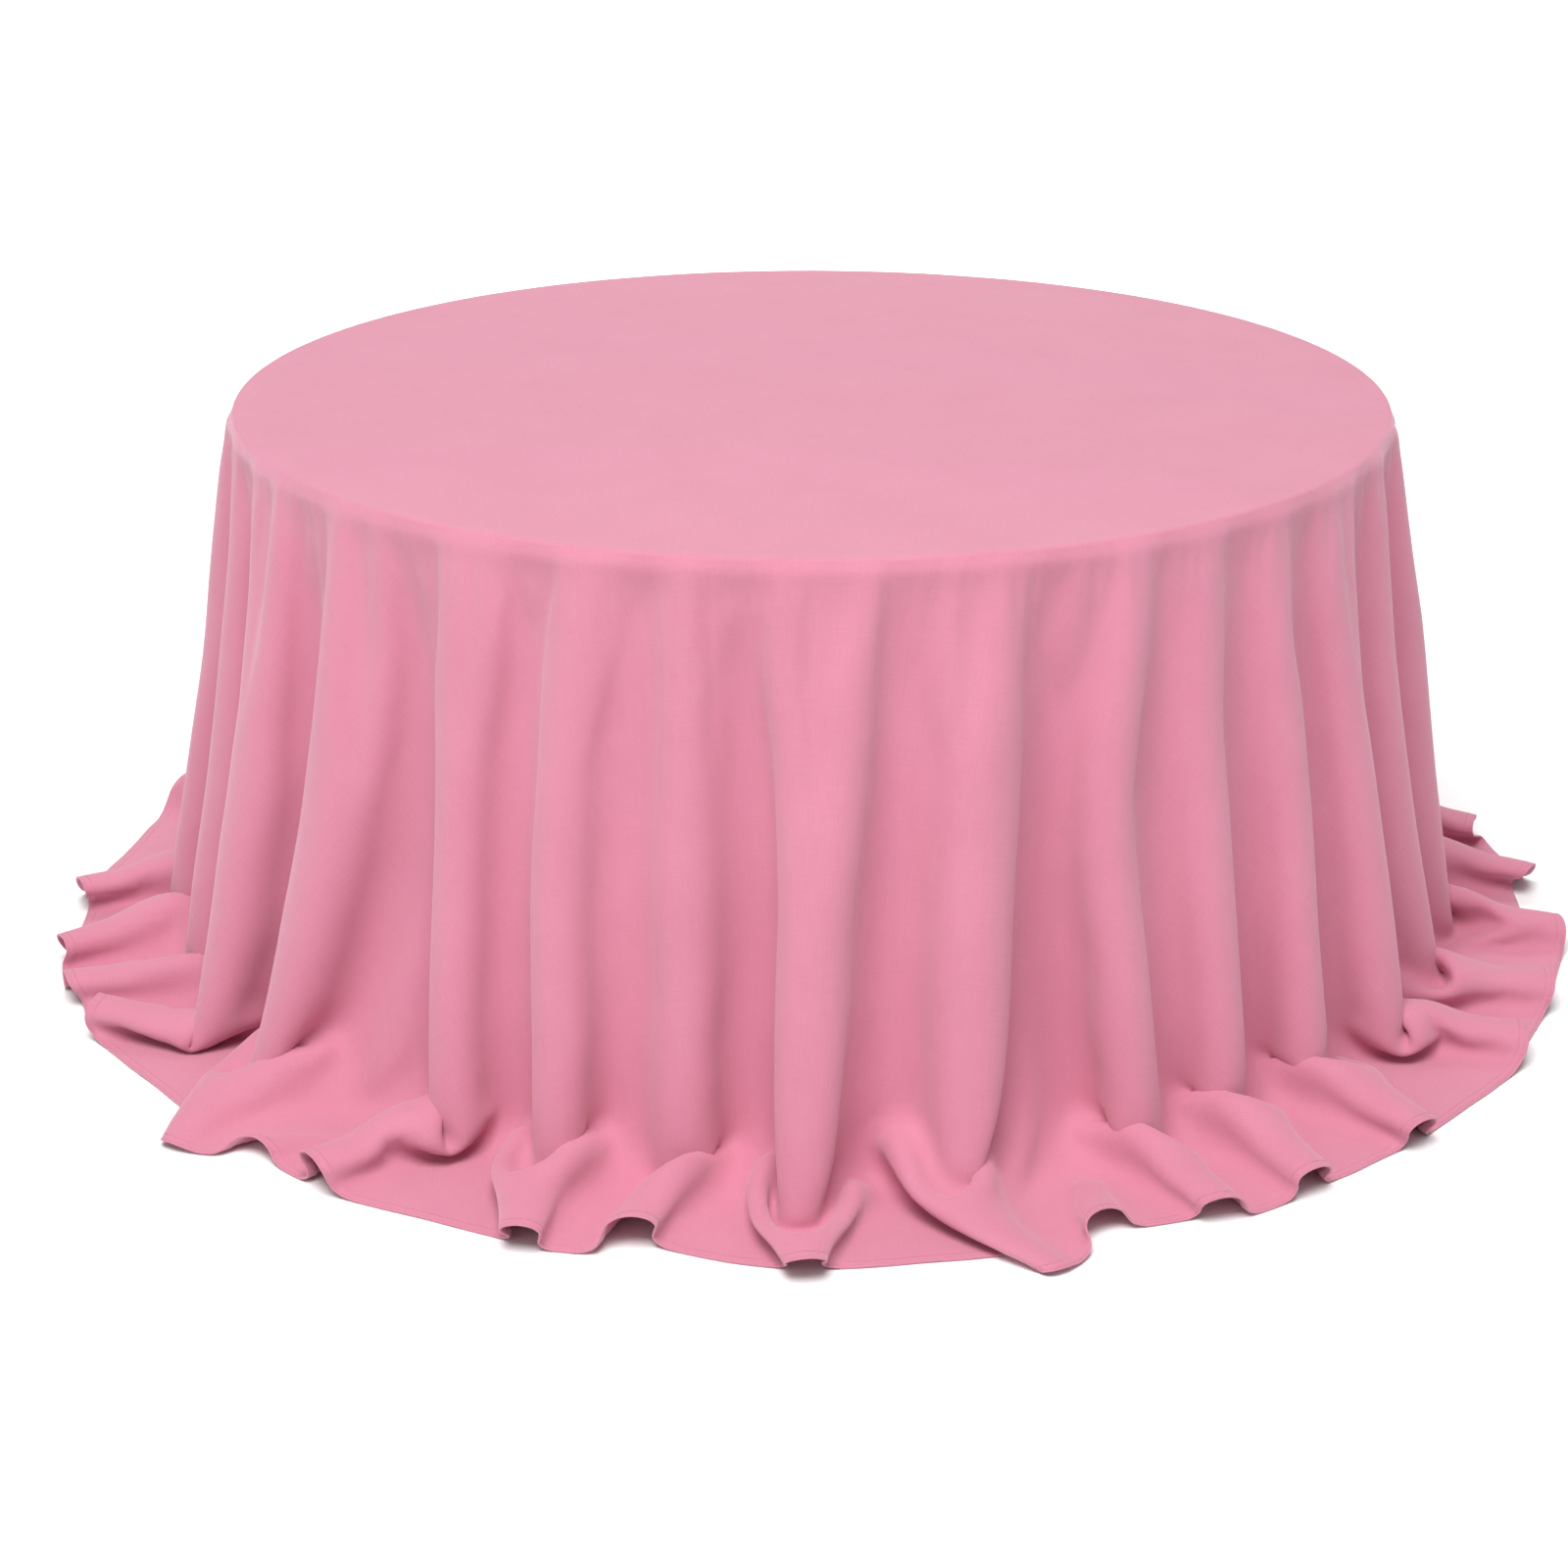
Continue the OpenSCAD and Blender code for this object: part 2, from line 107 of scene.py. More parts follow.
def foldPattern():
    # crests and troughs round the cloth, and their depth; a wide fold is deeper than a narrow one
    rng = np.random.default_rng(cloth["seed"])
    crests = np.sort(np.array([a % 360 for a in cloth["frontFolds"] + cloth["backFolds"]], float))
    gaps = np.diff(np.append(crests, crests[0] + 360))
    gaps = gaps * (1 + rng.uniform(-1, 1, len(gaps)) * cloth["foldVariety"]) / gaps.mean()
    angles, phases, depths = [], [], []
    for turn in (-1, 0, 1):
        for i, crest in enumerate(crests):
            wide = np.append(crests, crests[0] + 360)[i + 1] - crest
            angles += [crest + 360 * turn, crest + 360 * turn + wide / 2]
            phases += [i + len(crests) * turn, i + len(crests) * turn + 0.5]
            depths += [(gaps[i - 1] + gaps[i]) / 2, gaps[i]]
    degrees = np.degrees(spokeTurn)
    wave = np.cos(2 * np.pi * np.interp(degrees, angles, phases))
    return crests, wave * np.interp(degrees, angles, depths), max(depths), rng


def skirtProfile(s, lean, bend, straight):
    # at length s past the rim: radius, height, the way folds push out, and 0 on the skirt to 1 on the floor
    if s < straight:
        radius, height = tableRadius + s * math.sin(lean), tableTop - s * math.cos(lean)
        return radius, height, math.cos(lean), math.sin(lean), 0.0
    turned = min((s - straight) / bend, math.pi / 2 - lean)
    angle = lean + turned
    radius = tableRadius + straight * math.sin(lean) + bend * (math.cos(lean) - math.cos(angle))
    radius += max(0, s - straight - bend * (math.pi / 2 - lean))
    height = tableTop - straight * math.cos(lean) - bend * (math.sin(angle) - math.sin(lean))
    return radius, height, math.cos(angle), math.sin(angle), turned / (math.pi / 2 - lean)


def startShape():
    # before it falls: flat on top, a leaning skirt in even folds, and the rest out on the floor
    crests, wave, deepest, rng = foldPattern()
    spokes = cloth["spokes"]
    lean, bend = math.radians(cloth["skirtLean"]), cloth["floorBend"]
    straight = (tableTop - cloth["floorLevel"] - bend * (1 - math.sin(lean))) / math.cos(lean)
    points = np.zeros((ringCount, spokes, 3))
    degrees = np.degrees(spokeTurn)
    for ring, flatRadius in enumerate(ringRadius):
        s = flatRadius - tableRadius
        if s <= 0:
            points[ring] = circleAt(flatRadius, tableTop)
            continue
        radius, height, across, up, onFloor = skirtProfile(s, lean, bend, straight)
        shape = wave + onFloor * deepest
        low, high = 0.0, cloth["deepestFold"]
        for _ in range(30):  # the depth at which the ring keeps its flat length
            depth = (low + high) / 2
            out = radius + across * depth * shape
            loop = circleAt(out, height + up * depth * shape)
            steps = np.linalg.norm(np.roll(loop, -1, 0) - loop, axis=1)
            if steps.sum() < 2 * spokes * flatRadius * math.sin(math.pi / spokes):
                low = depth
            else:
                high = depth
        along = np.append(0, np.cumsum(steps))
        whole = along[-1]
        atCrest = np.interp(crests, np.append(degrees, 360), along)
        wanted = np.interp(degrees, np.r_[crests[-1] - 360, crests, crests[0] + 360],
                           np.r_[atCrest[-1] - whole, atCrest, atCrest[0] + whole]) % whole
        closed = np.vstack([loop, loop[:1]])
        points[ring] = np.stack([np.interp(wanted, along, closed[:, axis]) for axis in range(3)], -1)
    uneven = rng.normal(0, cloth["unevenness"], (ringCount, spokes))
    points[..., 2] += uneven * (ringRadius > tableRadius)[:, None]
    return points.astype(single)


def pullToLength(a, b, freeA, freeB, rest, share, pushOnly=False):
    # moves both ends of every link so that it gets closer to its rest length
    gap = b - a
    length = np.sqrt((gap * gap).sum(-1, keepdims=True)) + 1e-9
    error = length - rest
    if pushOnly:
        error = np.minimum(error, 0)
    gap *= share * error / (length * (freeA + freeB + 1e-9))
    a += freeA * gap
    b -= freeB * gap


def settleCloth(points):
    # lets the cloth fall; points has one row a ring and one column a spoke
    spokes = cloth["spokes"]
    before, speed = points.copy(), np.zeros_like(points)
    free = np.ones((ringCount, 1, 1), single)
    free[0] = 0
    columns = np.arange(spokes)
    radialRest = single(ringGap)

    def ringRest(skip):
        return (2 * ringRadius * math.sin(skip * math.pi / spokes)).astype(single)[:, None, None]

    nextRest, secondRest, fourthRest = ringRest(1), ringRest(2), ringRest(4)
    flat = np.stack([circleAt(radius, 0)[:, :2] for radius in ringRadius])
    slantRest = np.linalg.norm(flat[1:, 1:2] - flat[:-1, 0:1], axis=-1).astype(single)[:, :, None]
    rim = circleAt(tableRadius, tableTop).astype(single)
    hangs = ringRadius > tableRadius + cloth["edgeZone"]
    reach = ((ringRadius - tableRadius)[hangs] * cloth["reachSlack"]).astype(single)[:, None, None]
    foldsStart = tableRadius + cloth["selfTouchStart"]
    skirtPoints = np.nonzero(np.repeat(ringRadius, spokes) > foldsStart)[0]

    def linksDown():
        for p in (0, 1):
            end = p + 2 * ((ringCount - p) // 2)
            upper, lower = points[p:end:2], points[p + 1:end:2]
            pullToLength(upper, lower, free[p:end:2], free[p + 1:end:2], radialRest, 1)

    def linksAround():
        pullToLength(points[:, 0::2], points[:, 1::2], free, free, nextRest, 1)
        pullToLength(points[:, 1:-1:2], points[:, 2::2], free, free, nextRest, 1)
        pullToLength(points[:, -1:], points[:, :1], free, free, nextRest, 1)

    def linksSlanted(share):
        for p in (0, 1):
            end = p + 2 * ((ringCount - p) // 2)
            upper, lower = points[p:end:2], points[p + 1:end:2]
            freeUp, freeLow, rest = free[p:end:2], free[p + 1:end:2], slantRest[p:end - 1:2]
            pullToLength(upper[:, :-1], lower[:, 1:], freeUp, freeLow, rest, share)
            pullToLength(upper[:, -1:], lower[:, :1], freeUp, freeLow, rest, share)
            pullToLength(upper[:, 1:], lower[:, :-1], freeUp, freeLow, rest, share)
            pullToLength(upper[:, :1], lower[:, -1:], freeUp, freeLow, rest, share)

    def bendAround(skip, rest, share):
        for p in (0, 1):
            first = columns[(columns // skip) % 2 == p]
            second = (first + skip) % spokes
            a, b = points[:, first], points[:, second]
            pullToLength(a, b, free, free, rest, share, True)
            points[:, first], points[:, second] = a, b

    def bendDown(share):
        rows = np.arange(ringCount - 2)
        for p in (0, 1):
            first = rows[(rows // 2) % 2 == p]
            a, b = points[first], points[first + 2]
            pullToLength(a, b, free[first], free[first + 2], 2 * radialRest, share, True)
            points[first], points[first + 2] = a, b

    def holdReach():
        # no point gets further from its own place on the rim than the cloth between them is long
        gap = points[hangs] - rim[None]
        length = np.sqrt((gap * gap).sum(-1, keepdims=True)) + 1e-9
        points[hangs] = rim[None] + gap * np.minimum(1, reach / length)

    def slideBack(moved, was, away, depth, grip):
        # friction: takes back the sideways part of a touching point's move
        move = moved - was
        move -= (move * away).sum(-1, keepdims=True) * away
        size = np.sqrt((move * move).sum(-1, keepdims=True)) + 1e-12
        return moved - move * np.minimum(1, grip * depth / size)

    def touchTable():
        x, y, z = points[..., 0], points[..., 1], points[..., 2]
        away = np.sqrt(x * x + y * y)
        pastSide, pastTop = away - (tableRadius - edgeRounding), z - (tableTop - edgeRounding)
        corner = (pastSide > 0) & (pastTop > 0)
        fromCorner = np.sqrt(pastSide * pastSide + pastTop * pastTop)
        flatGap = np.maximum(away - tableRadius, z - tableTop)
        gap = np.where(corner, fromCorner - edgeRounding, flatGap)
        hit = np.nonzero((z > tableTop - cloth["edgeZone"]) & (gap < 0))
        keep = hit[0] > 0
        hit = (hit[0][keep], hit[1][keep])
        if len(hit[0]):
            byCorner, radius = corner[hit], away[hit] + 1e-9
            bySide = (away - tableRadius > z - tableTop)[hit]
            out = np.where(byCorner, pastSide[hit] / (fromCorner[hit] + 1e-9), bySide)
            up = np.where(byCorner, pastTop[hit] / (fromCorner[hit] + 1e-9), ~bySide)
            normal = np.stack([out * x[hit] / radius, out * y[hit] / radius, up], -1).astype(single)
            depth = -gap[hit][:, None]
            moved = points[hit] + normal * depth
            points[hit] = slideBack(moved, before[hit], normal, depth, cloth["edgeGrip"])

    def touchFloor():
        hit = np.nonzero(points[..., 2] < cloth["floorLevel"])
        moved = points[hit]
        depth = single(cloth["floorLevel"]) - moved[:, 2:3]
        moved[:, 2:3] += depth
        up = np.array([0, 0, 1], single)
        points[hit] = slideBack(moved, before[hit], up, depth, cloth["floorGrip"])

    def touchItself(spacing, share):
        # sorts the skirt's points into small boxes and pushes apart those of different folds
        allPoints = points.reshape(-1, 3)
        near = allPoints[skirtPoints]
        box = np.floor(near / spacing).astype(np.int64)
        box -= box.min(0) - 1
        size = box.max(0) + 2
        key = (box[:, 0] * size[1] + box[:, 1]) * size[2] + box[:, 2]
        order = np.argsort(key, kind="stable")
        keys, firsts, counts = np.unique(key[order], return_index=True, return_counts=True)
        row, column = skirtPoints // spokes, skirtPoints % spokes
        push, pushes = np.zeros_like(near), np.zeros(len(near), single)
        everyone = np.arange(len(near))
        around = (-1, 0, 1)
        shifts = [(a * size[1] + b) * size[2] + c for a in around for b in around for c in around]
        mostInBox = 3
        for shift in [s for s in shifts if s >= 0]:
            place = np.searchsorted(keys, key + shift)
            place[place == len(keys)] = 0
            found = keys[place] == key + shift
            for member in range(mostInBox):
                has = found & (counts[place] > member)
                a, b = everyone[has], order[firsts[place[has]] + member]
                if shift == 0:
                    once = a < b
                    a, b = a[once], b[once]
                apart = np.abs(column[a] - column[b])
                apart = np.minimum(apart, spokes - apart)
                other = (np.abs(row[a] - row[b]) > 2) | (apart > 2)
                a, b = a[other], b[other]
                gap = near[b] - near[a]
                length = np.sqrt((gap * gap).sum(1))
                close = length < spacing
                a, b, gap, length = a[close], b[close], gap[close], length[close]
                if len(a) == 0:
                    continue
                move = gap / (length[:, None] + 1e-9) * ((spacing - length) * 0.5)[:, None]
                for axis in range(3):
                    push[:, axis] += np.bincount(b, move[:, axis], len(near))
                    push[:, axis] -= np.bincount(a, move[:, axis], len(near))
                pushes += np.bincount(a, minlength=len(near)) + np.bincount(b, minlength=len(near))
        touched = pushes > 0
        allPoints[skirtPoints[touched]] += share * push[touched] / pushes[touched][:, None]

    step = single(1 / cloth["stepsPerSecond"])
    fall = np.array([0, 0, -9.81], single) * step * step
    stepCount = int(cloth["fallSeconds"] * cloth["stepsPerSecond"])
    for i in range(stepCount):
        before[:] = points
        points += (speed * step + fall) * free
        linksDown()
        linksAround()
        linksSlanted(cloth["shearStiffness"])
        bendAround(2, secondRest, cloth["bendStiffness"])
        bendAround(4, fourthRest, cloth["wideBendStiffness"])
        bendDown(cloth["bendStiffness"])
        linksDown()
        holdReach()
        if i % cloth["selfTouchEvery"] == 0:
            touchItself(single(cloth["selfSpacing"]), cloth["selfTouchShare"])
        touchTable()
        touchFloor()
        speed = (points - before) / step
        pace = np.sqrt((speed * speed).sum(-1, keepdims=True))
        drag = 1 - single(cloth["airDrag"]) * step
        speed *= np.minimum(1, cloth["topSpeed"] / (pace + 1e-6)) * drag
        if i % cloth["reportEvery"] == 0:
            print("cloth step", i, "of", stepCount)
    return points


clothGrid = startShape()
clothGrid = settleCloth(clothGrid)
hemRadius = np.hypot(clothGrid[-1, :, 0], clothGrid[-1, :, 1])
print("cloth settled, hem radius", hemRadius.min().round(3), "to", hemRadius.max().round(3))


def smoothWeights(places, count, closed):
    # weights that carry a smooth line through count points to the given places along it
    weights = np.zeros((len(places), count))
    base = np.floor(places).astype(int)
    if not closed:
        base = np.clip(base, 0, count - 2)
    f = places - base
    parts = [-0.5 * f + f**2 - 0.5 * f**3, 1 - 2.5 * f**2 + 1.5 * f**3,
             0.5 * f + 2 * f**2 - 1.5 * f**3, -0.5 * f**2 + 0.5 * f**3]
    rows = np.arange(len(places))
    for offset, part in zip((-1, 0, 1, 2), parts):
        column = (base + offset) % count if closed else np.clip(base + offset, 0, count - 1)
        np.add.at(weights, (rows, column), part)
    return weights


def surfaceAt(radii, turns):
    # points of the cloth at flat radii and at turns given in spokes: one row a radius, one column a turn
    rows = smoothWeights((np.asarray(radii) - ringRadius[0]) / ringGap, ringCount, False)
    columns = smoothWeights(np.asarray(turns, float), cloth["spokes"], True)
    onRows = np.tensordot(rows, clothGrid.astype(float), 1)
    return np.moveaxis(np.einsum("rck->rkc", onRows) @ columns.T, 1, 2)


def clearOfTable(points):
    # lifts points off the rounded table edge by the cloth's clearance, and keeps them above the floor
    away = np.hypot(points[..., 0], points[..., 1])
    pastSide = away - (tableRadius - edgeRounding)
    pastTop = points[..., 2] - (tableTop - edgeRounding)
    fromCorner = np.hypot(pastSide, pastTop)
    near = points[..., 2] > tableTop - cloth["edgeZone"]
    corner = near & (pastSide > 0) & (pastTop > 0) & (fromCorner < edgeRounding)
    grow = np.where(corner, edgeRounding / np.maximum(fromCorner, 1e-9), 1)
    side = near & (pastTop <= 0) & (away < tableRadius)
    newAway = np.where(side, tableRadius, tableRadius - edgeRounding + pastSide * grow)
    top = near & (pastSide <= 0) & (pastTop > 0)
    widen = np.where(top, 1, newAway / np.maximum(away, 1e-9))
    points[..., 0] *= widen
    points[..., 1] *= widen
    newHeight = np.where(corner, tableTop - edgeRounding + pastTop * grow, points[..., 2])
    lowest = cloth["floorLevel"] - cloth["thickness"]
    points[..., 2] = np.where(top, tableTop, np.maximum(newHeight, lowest))
    return points


def softened(grid):
    # one light pass that takes the jitter of touching folds out of the grid
    down = grid.copy()
    down[1:-1] = (grid[:-2] + 2 * grid[1:-1] + grid[2:]) / 4
    return ((np.roll(down, 1, 1) + 2 * down + np.roll(down, -1, 1)) / 4 + grid) / 2


def pressed(grid):
    # the folds on the floor lie lower than the links alone leave them, as cloth smoothed out by hand does
    away = np.hypot(grid[..., 0], grid[..., 1])
    near, far = cloth["pressZone"]
    share = np.clip((away - near) / (far - near), 0, 1)
    share = share * share * (3 - 2 * share)
    height = grid[..., 2] - cloth["floorLevel"]
    grid[..., 2] = cloth["floorLevel"] + height * (1 + share * (cloth["pressedHeight"] - 1))
    return grid


clothGrid = pressed(softened(clothGrid))


def cleanMaterials(obj, *materials):
    obj.data.materials.clear()
    for material in materials:
        obj.data.materials.append(material)


def meshObject(name, points, faces, smooth=True):
    mesh = bpy.data.meshes.new(name)
    mesh.from_pydata([tuple(p) for p in points], [], faces)
    mesh.validate()
    mesh.polygons.foreach_set("use_smooth", [smooth] * len(mesh.polygons))
    mesh.update()
    obj = bpy.data.objects.new(name, mesh)
    bpy.context.scene.collection.objects.link(obj)
    return obj


def giveFlatMap(mesh, flatPoints):
    # the cloth's own flat pattern, in metres, carries the weave
    layer = mesh.uv_layers.new(name="flatPattern")
    corner = np.zeros(len(mesh.loops), int)
    mesh.loops.foreach_get("vertex_index", corner)
    layer.data.foreach_set("uv", np.asarray(flatPoints, np.float32)[corner].ravel())


# Colours of the finishes, and in metres the repeat of the weave, of the thread's twist and of the plies.
finishes = {
    "pinkLight": (0.610, 0.215, 0.310),
    "pinkDeep": (0.540, 0.172, 0.258),
    "pinkReverse": (0.620, 0.105, 0.210),
    "sheenTint": (1.0, 0.78, 0.85, 1),
    "sheenFace": 0.4,
    "sheenReverse": 0.15,
    "thread": (0.60, 0.25, 0.33),
    "weavePitch": 0.0009,
    "threadTwist": 0.0011,
    "plyPitch": 0.0026,
    "birchPale": (0.70, 0.52, 0.33),
    "birchDark": (0.52, 0.35, 0.20),
    "beechPale": (0.52, 0.32, 0.17),
    "beechDark": (0.36, 0.20, 0.10),
    "laminatePale": (0.66, 0.60, 0.52),
    "laminateFleck": (0.50, 0.43, 0.35),
    "bandDark": (0.045, 0.040, 0.036),
    "paintGrey": (0.075, 0.078, 0.082),
    "zinc": (0.62, 0.63, 0.64),
    "steel": (0.50, 0.50, 0.49),
    "glideBlack": (0.025, 0.025, 0.027),
}


class NodeSheet:
    # a material's node tree with short calls for what is used here
    def __init__(self, name):
        self.material = bpy.data.materials.new(name)
        self.material.use_nodes = True
        self.tree = self.material.node_tree
        self.shader = self.tree.nodes["Principled BSDF"]
        self.places = self.tree.nodes.new("ShaderNodeTexCoord")

    def add(self, kind, inputs=None, **settings):
        node = self.tree.nodes.new(kind)
        for key, value in settings.items():
            setattr(node, key, value)
        for key, value in (inputs or {}).items():
            if isinstance(value, bpy.types.NodeSocket):
                self.tree.links.new(value, node.inputs[key])
            else:
                node.inputs[key].default_value = value
        return node

    def stretched(self, scale, flatMap=False):
        source = self.places.outputs["UV" if flatMap else "Object"]
        return self.add("ShaderNodeMapping", {"Vector": source, "Scale": scale}).outputs["Vector"]

    def noise(self, where, scale, detail=3.0, roughness=0.5):
        inputs = {"Vector": where, "Scale": scale, "Detail": detail, "Roughness": roughness}
        return self.add("ShaderNodeTexNoise", inputs).outputs["Fac"]

    def bands(self, where, pitch, direction):
        # round threads side by side, one every pitch metres
        inputs = {"Vector": where, "Scale": math.pi / (10 * pitch)}
        return self.add("ShaderNodeTexWave", inputs, bands_direction=direction).outputs["Fac"]

    def spread(self, value, fromLow, fromHigh, toLow, toHigh):
        inputs = {"Value": value, "From Min": fromLow, "From Max": fromHigh,
                  "To Min": toLow, "To Max": toHigh}
        return self.add("ShaderNodeMapRange", inputs).outputs["Result"]

    def math(self, operation, a, b):
        return self.add("ShaderNodeMath", {0: a, 1: b}, operation=operation).outputs[0]

    def mixColours(self, share, a, b):
        node = self.add("ShaderNodeMix", data_type="RGBA")
        for socket, value in ((0, share), (6, a), (7, b)):
            if isinstance(value, bpy.types.NodeSocket):
                self.tree.links.new(value, node.inputs[socket])
            else:
                node.inputs[socket].default_value = (*value, 1) if socket else value
        return node.outputs[2]

    def bump(self, height, strength, distance):
        node = self.add("ShaderNodeBump", {"Height": height, "Strength": strength, "Distance": distance})
        self.tree.links.new(node.outputs["Normal"], self.shader.inputs["Normal"])

    def drive(self, name, socket):
        self.tree.links.new(socket, self.shader.inputs[name])

    def setEvenly(self, **values):
        # values that are the same all over, set on the shader's own sockets
        for key, value in values.items():
            self.shader.inputs[key.replace("_", " ")].default_value = value


def wovenCloth(name, light, deep, sheen):
    # plain weave: warp and weft threads, slubs along them, and soft changes of shade over a hand's width
    s = NodeSheet(name)
    flat = s.stretched((1, 1, 1), True)
    warp = s.bands(flat, finishes["weavePitch"], "X")
    weft = s.bands(flat, finishes["weavePitch"], "Y")
    warpSlub = s.noise(s.stretched((900, 28, 1), True), 1, 2)
    weftSlub = s.noise(s.stretched((28, 900, 1), True), 1, 2)
    slubs = s.math("ADD", warpSlub, weftSlub)
    shade = s.noise(flat, 7, 4, 0.6)
    threads = s.spread(slubs, 0.6, 1.4, 0.0, 0.6)
    share = s.math("ADD", threads, s.spread(shade, 0.3, 0.7, 0.0, 0.4))
    s.drive("Base Color", s.mixColours(share, light, deep))
    s.drive("Roughness", s.spread(slubs, 0.6, 1.4, 0.62, 0.76))
    weave = s.math("MULTIPLY", warp, weft)
    s.bump(s.math("ADD", weave, s.math("MULTIPLY", slubs, 1.5)), 0.30, 0.0003)
    s.setEvenly(Sheen_Weight=sheen, Sheen_Roughness=0.65, Specular_IOR_Level=0.25)
    s.shader.inputs["Sheen Tint"].default_value = finishes["sheenTint"]
    return s.material


def sewingThread():
    s = NodeSheet("twistedThread")
    ply = s.bands(s.stretched((1, 1, 1)), finishes["threadTwist"], "DIAGONAL")
    s.drive("Base Color", s.mixColours(ply, finishes["thread"], finishes["pinkDeep"]))
    s.drive("Roughness", s.spread(ply, 0, 1, 0.45, 0.6))
    s.bump(ply, 0.3, 0.0002)
    s.setEvenly(Sheen_Weight=0.2)
    return s.material


def plywood():
    # rotary-cut face, and the plies as stripes up the edge
    s = NodeSheet("birchPlywood")
    grain = s.noise(s.stretched((3, 60, 60)), 1.5, 6, 0.6)
    plies = s.bands(s.stretched((1, 1, 1)), finishes["plyPitch"], "Z")
    share = s.math("ADD", s.spread(grain, 0.3, 0.7, 0, 0.7), s.math("MULTIPLY", plies, 0.3))
    s.drive("Base Color", s.mixColours(share, finishes["birchPale"], finishes["birchDark"]))
    s.drive("Roughness", s.spread(grain, 0.3, 0.7, 0.55, 0.75))
    s.bump(grain, 0.25, 0.0006)
    return s.material


def railWood(name, alongX):
    # straight grain along the rail, with darker pores
    s = NodeSheet(name)
    grainStretch = (4, 90, 90) if alongX else (90, 4, 90)
    poreStretch = (30, 700, 700) if alongX else (700, 30, 700)
    grain = s.noise(s.stretched(grainStretch), 1.2, 7, 0.62)
    pores = s.noise(s.stretched(poreStretch), 1, 2)
    share = s.math("ADD", s.spread(grain, 0.35, 0.65, 0, 0.8), s.spread(pores, 0.6, 0.75, 0, 0.4))
    s.drive("Base Color", s.mixColours(share, finishes["beechPale"], finishes["beechDark"]))
    s.drive("Roughness", s.spread(grain, 0.3, 0.7, 0.48, 0.66))
    s.bump(pores, 0.2, 0.0004)
    return s.material


def speckledSheet(name, colour, fleck, scale, roughLow, roughHigh, bumpHeight, metallic=0.0):
    # plastic sheet, paint and plated metal: a fine grain of shade and height, and a wider change of gloss
    s = NodeSheet(name)
    grain = s.noise(s.stretched((1, 1, 1)), scale, 3, 0.55)
    wide = s.noise(s.stretched((1, 1, 1)), scale / 40, 3, 0.6)
    share = s.math("ADD", s.spread(grain, 0.45, 0.65, 0, 0.6), s.spread(wide, 0.35, 0.65, 0, 0.4))
    s.drive("Base Color", s.mixColours(share, colour, fleck))
    s.drive("Roughness", s.spread(wide, 0.35, 0.65, roughLow, roughHigh))
    s.bump(grain, 0.2, bumpHeight)
    s.setEvenly(Metallic=metallic)
    return s.material


def darker(colour, share):
    return tuple(part * share for part in colour)


pinkFace = wovenCloth("pinkClothFace", finishes["pinkLight"], finishes["pinkDeep"], finishes["sheenFace"])
pinkReverse = wovenCloth("pinkClothReverse", finishes["pinkReverse"], finishes["pinkDeep"],
                         finishes["sheenReverse"])
stitchThread = sewingThread()
woodX, woodY = railWood("beechRailAcross", True), railWood("beechRailDeep", False)
nodeFinish = {
    "plywood": plywood(),
    "hardwood": woodX,
    "laminate": speckledSheet("topLaminate", finishes["laminatePale"], finishes["laminateFleck"],
                              900, 0.35, 0.5, 0.0001),
    "edge_band": speckledSheet("vinylEdgeBand", finishes["bandDark"], darker(finishes["bandDark"], 0.6),
                               700, 0.4, 0.55, 0.0002),
    "leg_paint": speckledSheet("powderCoat", finishes["paintGrey"], darker(finishes["paintGrey"], 0.8),
                               500, 0.38, 0.52, 0.0004),
    "zinc_plate": speckledSheet("zincPlate", finishes["zinc"], darker(finishes["zinc"], 0.8),
                                350, 0.28, 0.45, 0.0002, 1.0),
    "fasteners": speckledSheet("brightSteel", finishes["steel"], darker(finishes["steel"], 0.75),
                               500, 0.25, 0.4, 0.0001, 1.0),
    "glide_plastic": speckledSheet("glidePlastic", finishes["glideBlack"],
                                   darker(finishes["glideBlack"], 0.6), 600, 0.4, 0.6, 0.0003),
}
print("materials made")

slotOf = {part["node"]: part["material_slot"] for part in frame["record"]["subparts"]}
for node, obj in frame["nodes"].items():
    slotName = slotOf.get(node)
    if slotName in nodeFinish:
        cleanMaterials(obj, woodY if "cross_rail" in node else nodeFinish[slotName])
print("table parts finished", len(slotOf))


# How finely the settled cloth is cut into faces.
surface = {
    "spokeSplit": 2,  # finer spokes than the grid that fell
    "rimZone": (0.748, 0.785),
    "rimLeadIn": 0.004,  # the wider rings of the top end this far short of the rim zone
    "rimStep": 0.0018,
    "rimPasses": 12,
    "rimMargin": (0.02, 0.01),  # the passes start and end this far outside the rim zone
    "skirtStep": 0.0085,
    "topStep": 0.015,
    "topRings": (0.56, 0.30, 0.10),  # rings of the flat middle, each with a quarter of the points outside it
}


def clothRadii():
    innerEnd = surface["rimZone"][0] - surface["rimLeadIn"]
    inner = np.arange(ringRadius[0], innerEnd, surface["topStep"])
    rim = np.arange(*surface["rimZone"], surface["rimStep"])
    steps = int(round((clothRadius - rim[-1]) / surface["skirtStep"]))
    return np.r_[inner, rim, np.linspace(rim[-1], clothRadius, steps + 1)[1:]]


